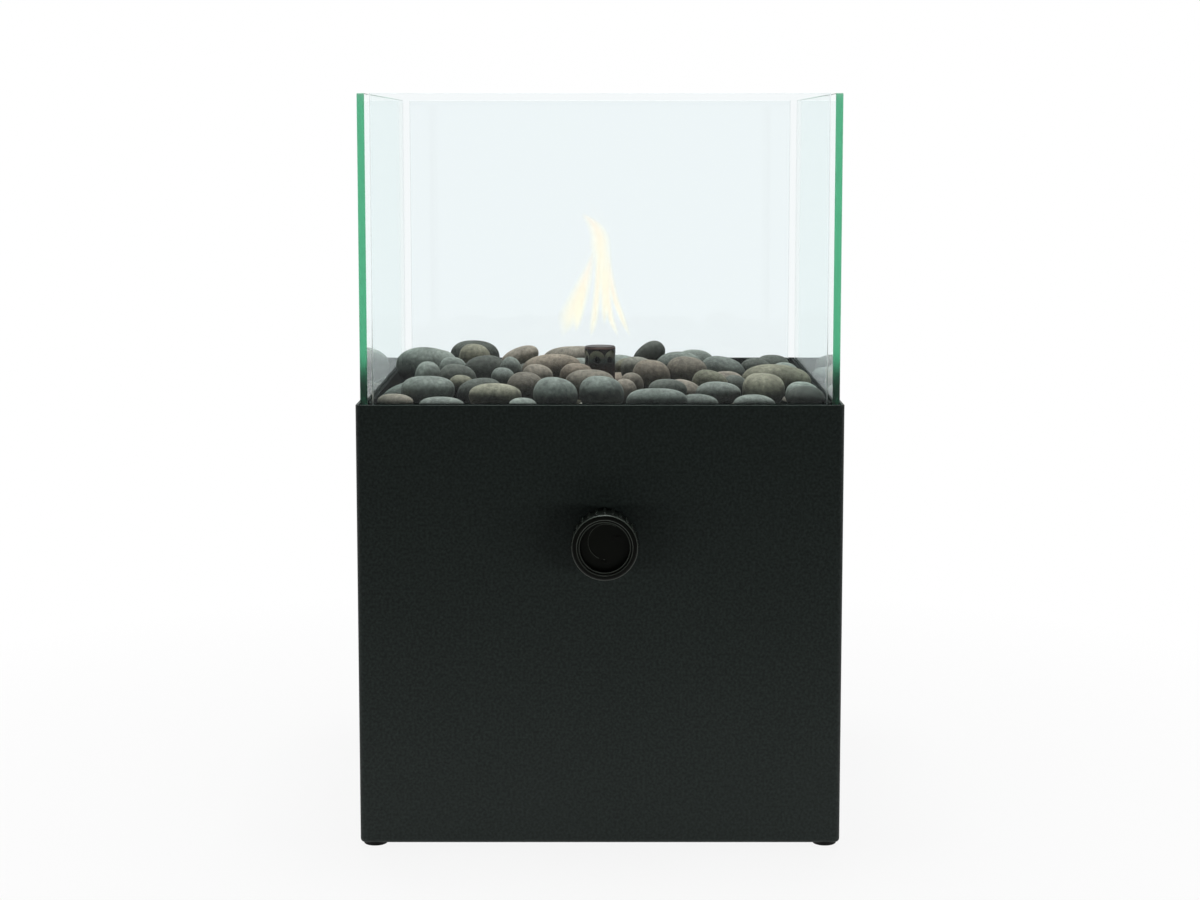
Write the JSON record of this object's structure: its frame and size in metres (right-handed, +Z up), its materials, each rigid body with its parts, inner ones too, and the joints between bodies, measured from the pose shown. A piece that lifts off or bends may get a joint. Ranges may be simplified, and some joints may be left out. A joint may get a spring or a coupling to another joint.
{
  "type": "tabletop gas fire pit",
  "caption": "Square tabletop gas fire: powder-coated housing, lift-out glass panes round a pebble bed and burner, a front control knob and a screw-in gas cartridge.",
  "frame": {"origin": "on the table plane under the middle of the housing, on the burner's axis", "axes": "+Z up along the burner's axis, -Y out through the control knob, +X to the right seen from the knob side"},
  "size_m": [0.2, 0.2175, 0.3118],
  "materials": {
    "powder_coat": "fine-textured satin black powder coat",
    "foot_rubber": "moulded matte",
    "pane_glass": "clear toughened float glass with ground edges",
    "plated_steel": "bright zinc plate",
    "burner_steel": "heat-tinted stainless steel",
    "valve_brass": "turned brass",
    "spindle_steel": "ground stainless steel",
    "seal_rubber": "nitrile seal",
    "bush_plastic": "moulded black",
    "knob_plastic": "gloss black moulding",
    "can_paint": "plain grey lacquer",
    "grey_stone": "smooth matte river pebble",
    "olive_stone": "smooth matte river pebble",
    "brown_stone": "smooth matte river pebble",
    "dark_stone": "smooth matte river pebble"
  },
  "bodies": {
    "base": {"housing": "powder_coat", "rubber_feet": "foot_rubber", "front_ledge": "powder_coat", "right_ledge": "powder_coat", "rear_ledge": "powder_coat", "left_ledge": "powder_coat", "pebble_tray": "powder_coat", "tray_screws": "plated_steel", "burner_head": "burner_steel", "burner_tube": "plated_steel", "upper_lock_nut": "plated_steel", "lower_lock_nut": "plated_steel", "gas_jet": "valve_brass", "valve_body": "valve_brass", "gland_nut": "valve_brass", "spindle_seal": "seal_rubber", "spindle_bush": "bush_plastic", "inlet_collar": "valve_brass", "inlet_seal": "seal_rubber", "depressor_pin": "valve_brass", "grey_pebbles": "grey_stone", "olive_pebbles": "olive_stone", "brown_pebbles": "brown_stone", "dark_pebbles": "dark_stone"},
    "control": {"knob": "knob_plastic", "valve_spindle": "spindle_steel"},
    "needle": {"valve_needle": "spindle_steel"},
    "front_pane": {"front_glass": "pane_glass"},
    "right_pane": {"right_glass": "pane_glass"},
    "rear_pane": {"rear_glass": "pane_glass"},
    "left_pane": {"left_glass": "pane_glass"},
    "cartridge": {"cartridge_can": "can_paint", "cartridge_valve": "valve_brass"}
  },
  "joints": [
    {"name": "knob_turn", "type": "hinge", "parent": "base", "child": "control", "pos_m": [0.0019, -0.1, 0.1295], "axis": [0, -1, 0], "range_deg": [-90, 270]},
    {"name": "needle_slide", "type": "slide", "parent": "base", "child": "needle", "axis": [0, -1, 0], "range_m": [-0.00026, 0.00076]},
    {"name": "front_pane_lift", "type": "slide", "parent": "base", "child": "front_pane", "axis": [0, 0, 1], "range_m": [0, 0.16]},
    {"name": "right_pane_lift", "type": "slide", "parent": "base", "child": "right_pane", "axis": [0, 0, 1], "range_m": [0, 0.16]},
    {"name": "rear_pane_lift", "type": "slide", "parent": "base", "child": "rear_pane", "axis": [0, 0, 1], "range_m": [0, 0.16]},
    {"name": "left_pane_lift", "type": "slide", "parent": "base", "child": "left_pane", "axis": [0, 0, 1], "range_m": [0, 0.16]},
    {"name": "cartridge_removal", "type": "slide", "parent": "base", "child": "cartridge", "axis": [0, 0, -1], "range_m": [0, 0.13]}
  ],
  "couplings": [
    {"joint": "needle_slide", "follows": "knob_turn", "m_per_rad": 0.00015915}
  ]
}
